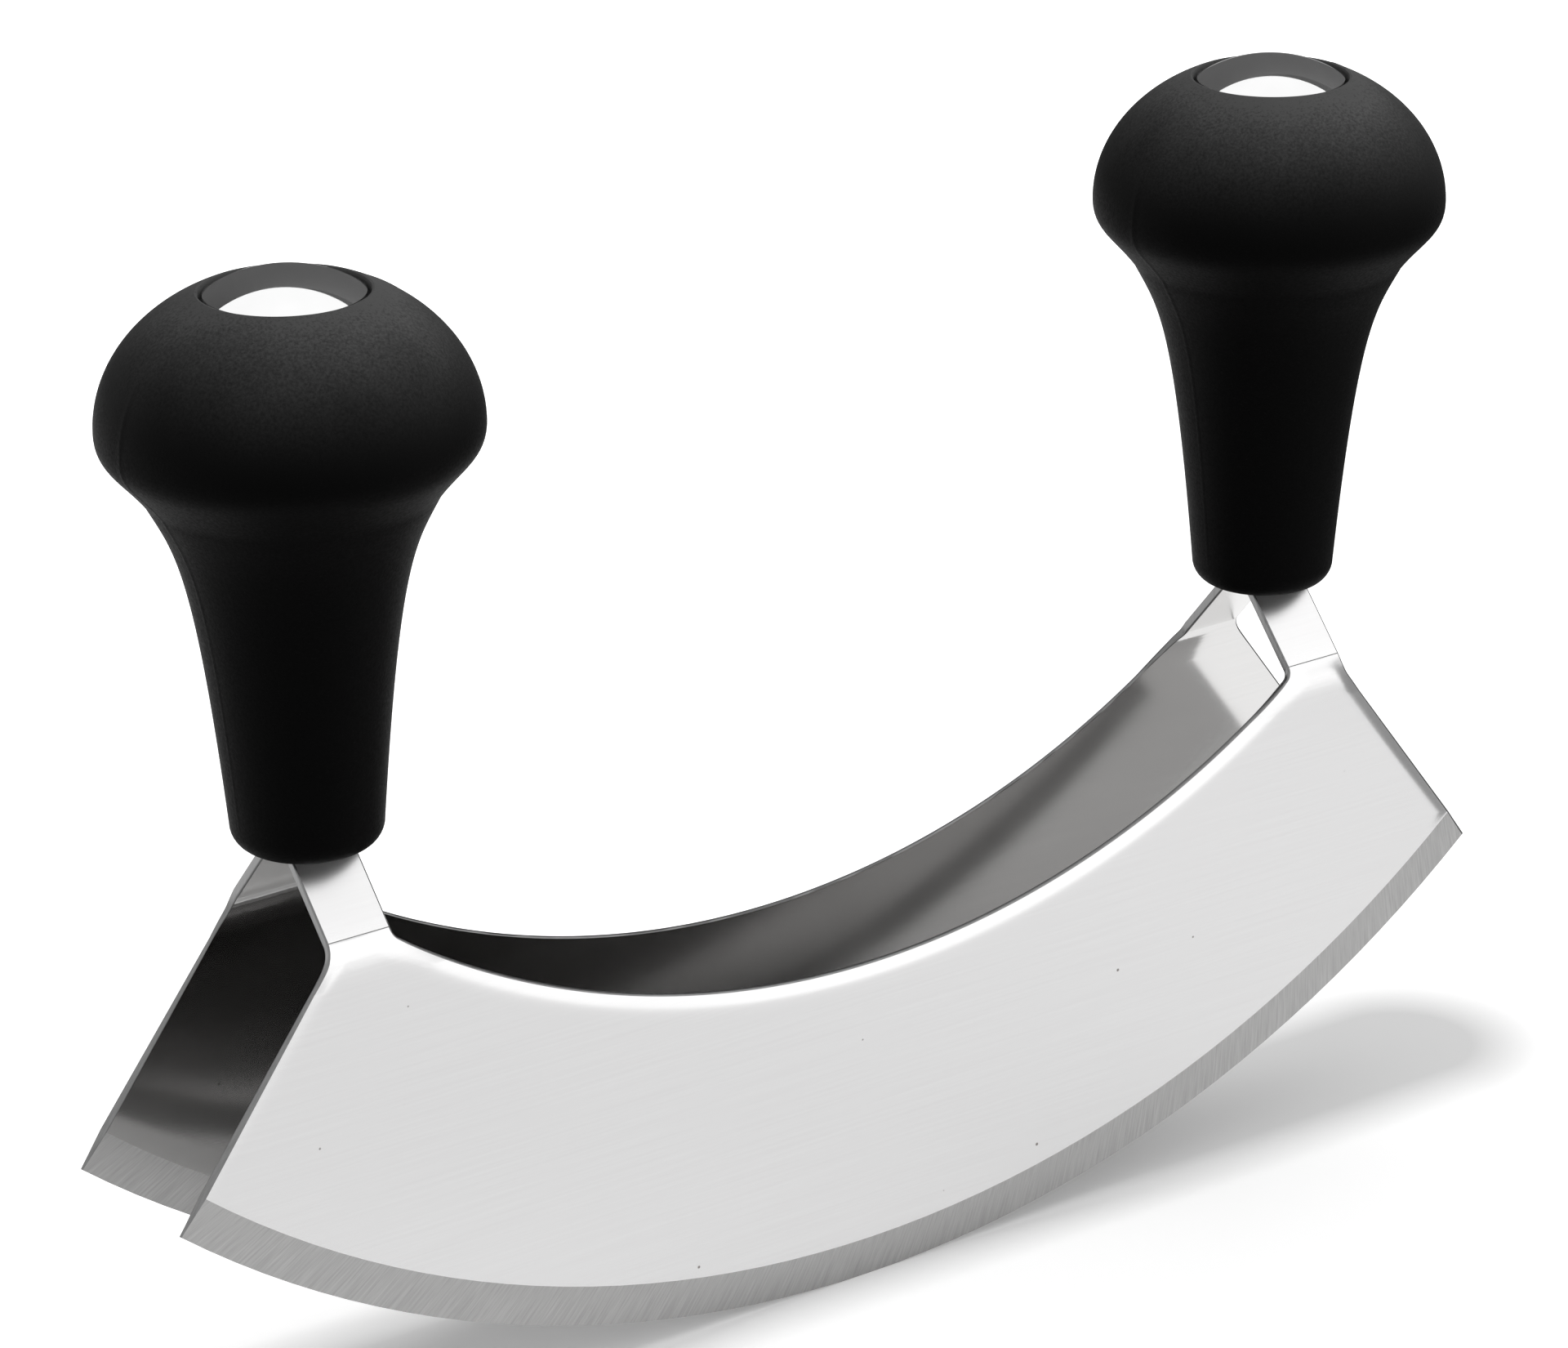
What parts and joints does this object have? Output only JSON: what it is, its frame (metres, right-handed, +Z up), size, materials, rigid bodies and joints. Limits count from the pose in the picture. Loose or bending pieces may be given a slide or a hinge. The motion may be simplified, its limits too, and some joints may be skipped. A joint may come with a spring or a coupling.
{
  "type": "double-blade mezzaluna",
  "caption": "Rocking herb chopper: parallel crescent steel blades with ears bent together into soft black knob handles with domed steel end caps.",
  "frame": {"origin": "middle of the object's box at board level, under the middle of the two cutting edges", "axes": "+X along the blades from the left handle to the right, +Y from the front blade to the rear one, +Z up along the handles"},
  "size_m": [0.2, 0.045, 0.1446],
  "materials": {
    "blade_steel": "satin polished sheet, bevel ground with fine upright scratches",
    "cap_steel": "polished",
    "soft_skin": "fine matte grain",
    "hard_plastic": "moulded, matte",
    "plated_steel": "zinc plated"
  },
  "bodies": {
    "root": {"front_blade": "blade_steel", "rear_blade": "blade_steel", "left_grip": "soft_skin", "right_grip": "soft_skin", "left_handle_core": "hard_plastic", "right_handle_core": "hard_plastic", "left_end_cap": "cap_steel", "right_end_cap": "cap_steel", "left_tie_rod": "plated_steel", "right_tie_rod": "plated_steel", "left_tang_rivets": "plated_steel", "right_tang_rivets": "plated_steel", "left_lock_nut": "plated_steel", "right_lock_nut": "plated_steel", "left_washer": "plated_steel", "right_washer": "plated_steel", "left_mouth_plug": "hard_plastic", "right_mouth_plug": "hard_plastic"}
  },
  "joints": []
}
